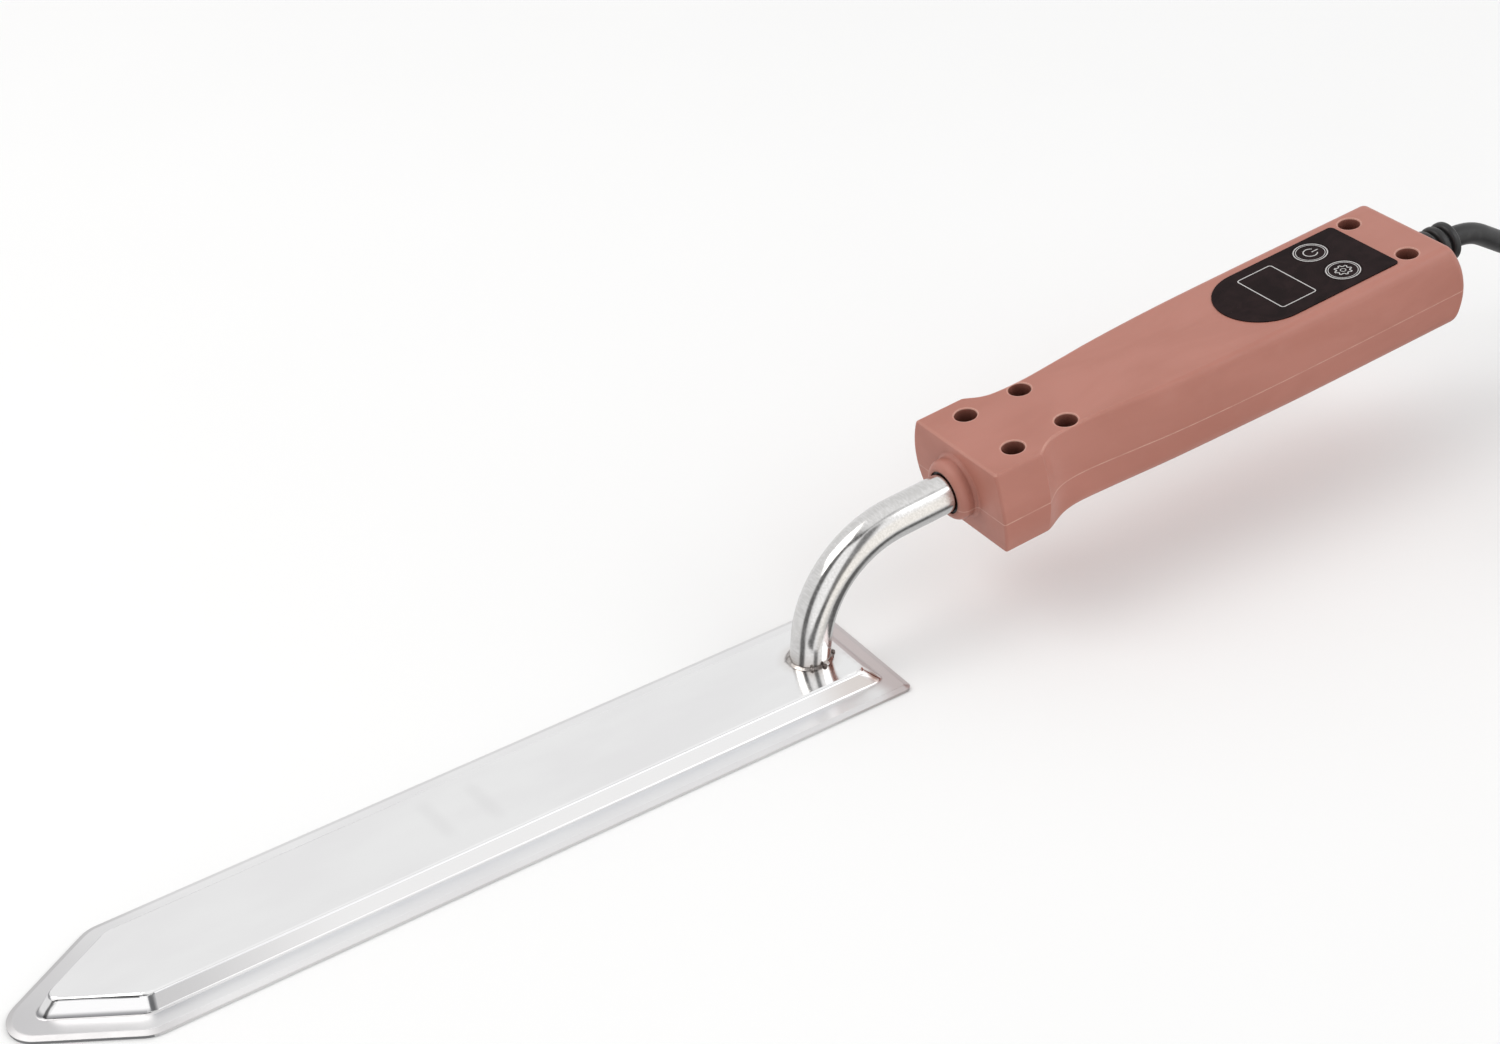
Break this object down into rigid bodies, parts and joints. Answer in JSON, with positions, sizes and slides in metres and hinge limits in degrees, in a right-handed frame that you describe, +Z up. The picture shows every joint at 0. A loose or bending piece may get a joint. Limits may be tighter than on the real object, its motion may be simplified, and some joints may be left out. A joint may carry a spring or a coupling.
{
  "type": "uncapping knife",
  "caption": "Electric uncapping knife with a hollow heated blade, bent tube neck, screwed handle with temperature panel, and a coiled mains cord with plug.",
  "frame": {"origin": "point of the blade's flat underside where the axis of the neck's lower leg meets it", "axes": "+X from the blade's point towards the handle, +Z up out of the raised face of the blade, +Y to the left of the handle when seen from its rear"},
  "size_m": [0.6745, 0.16, 0.0681],
  "materials": {
    "blade_steel": "satin polished stainless sheet",
    "tube_steel": "polished stainless tube",
    "weld": "heat-tinted weld",
    "mica": "pressed mica board",
    "nichrome": "dull resistance ribbon",
    "fibre": "ceramic-fibre felt",
    "brass": "plain",
    "sensor_steel": "drawn",
    "sleeve_white": "glass-fibre sleeving",
    "sleeve_red": "silicone sleeving",
    "shell_plastic": "satin moulded, reddish brown",
    "zinc_screw": "zinc plated",
    "saddle_steel": "stamped",
    "silicone": "matte",
    "board_green": "solder-masked laminate",
    "display_grey": "dark face",
    "smoked_window": "smoked",
    "switch_black": "moulded",
    "switch_cap": "moulded",
    "panel_black": "glossy printed film",
    "terminal_green": "moulded",
    "chip_black": "moulded epoxy",
    "capacitor_yellow": "cast case",
    "capacitor_sleeve": "shrink sleeve",
    "fuse_glass": "clear",
    "clamp_plastic": "moulded nylon",
    "relief_rubber": "satin",
    "cord_rubber": "satin sheath",
    "core_insulation": "insulated cores",
    "plug_rubber": "satin moulded",
    "plug_metal": "nickel plated"
  },
  "bodies": {
    "root": {"blade_bottom_skin": "blade_steel", "blade_top_skin": "blade_steel", "mica_lower_sheet": "mica", "mica_core": "mica", "heating_ribbon": "nichrome", "mica_upper_sheet": "mica", "pressure_pad": "fibre", "heater_terminals": "brass", "temperature_sensor": "sensor_steel", "heater_leads": "sleeve_white", "sensor_leads": "sleeve_red", "gooseneck_tube": "tube_steel", "tube_weld": "weld", "power_cord": "cord_rubber", "cord_cores": "core_insulation", "plug_body": "plug_rubber", "plug_pins": "plug_metal", "earth_contacts": "plug_metal", "upper_shell": "shell_plastic", "lower_shell": "shell_plastic", "front_screws": "zinc_screw", "rear_screws": "zinc_screw", "tube_saddle": "saddle_steel", "heat_sleeve": "silicone", "control_board": "board_green", "board_screws": "zinc_screw", "display_module": "display_grey", "display_window": "smoked_window", "switch_housings": "switch_black", "control_label": "panel_black", "heater_terminal_block": "terminal_green", "mains_terminal_block": "terminal_green", "terminal_screws": "zinc_screw", "triac": "chip_black", "film_capacitor": "capacitor_yellow", "electrolytic_capacitors": "capacitor_sleeve", "bridge_rectifier": "chip_black", "microcontroller": "chip_black", "fuse": "fuse_glass", "fuse_clips": "brass", "cord_clamp": "clamp_plastic", "clamp_screws": "zinc_screw", "strain_relief": "relief_rubber"},
    "set_button": {"set_key": "panel_black", "set_plunger": "switch_cap"},
    "power_button": {"power_key": "panel_black", "power_plunger": "switch_cap"}
  },
  "joints": [
    {"name": "set_key_press", "type": "slide", "parent": "root", "child": "set_button", "axis": [0.0698, 0, -0.9976], "range_m": [0, 0.0004]},
    {"name": "power_key_press", "type": "slide", "parent": "root", "child": "power_button", "axis": [0.0698, 0, -0.9976], "range_m": [0, 0.0004]}
  ]
}
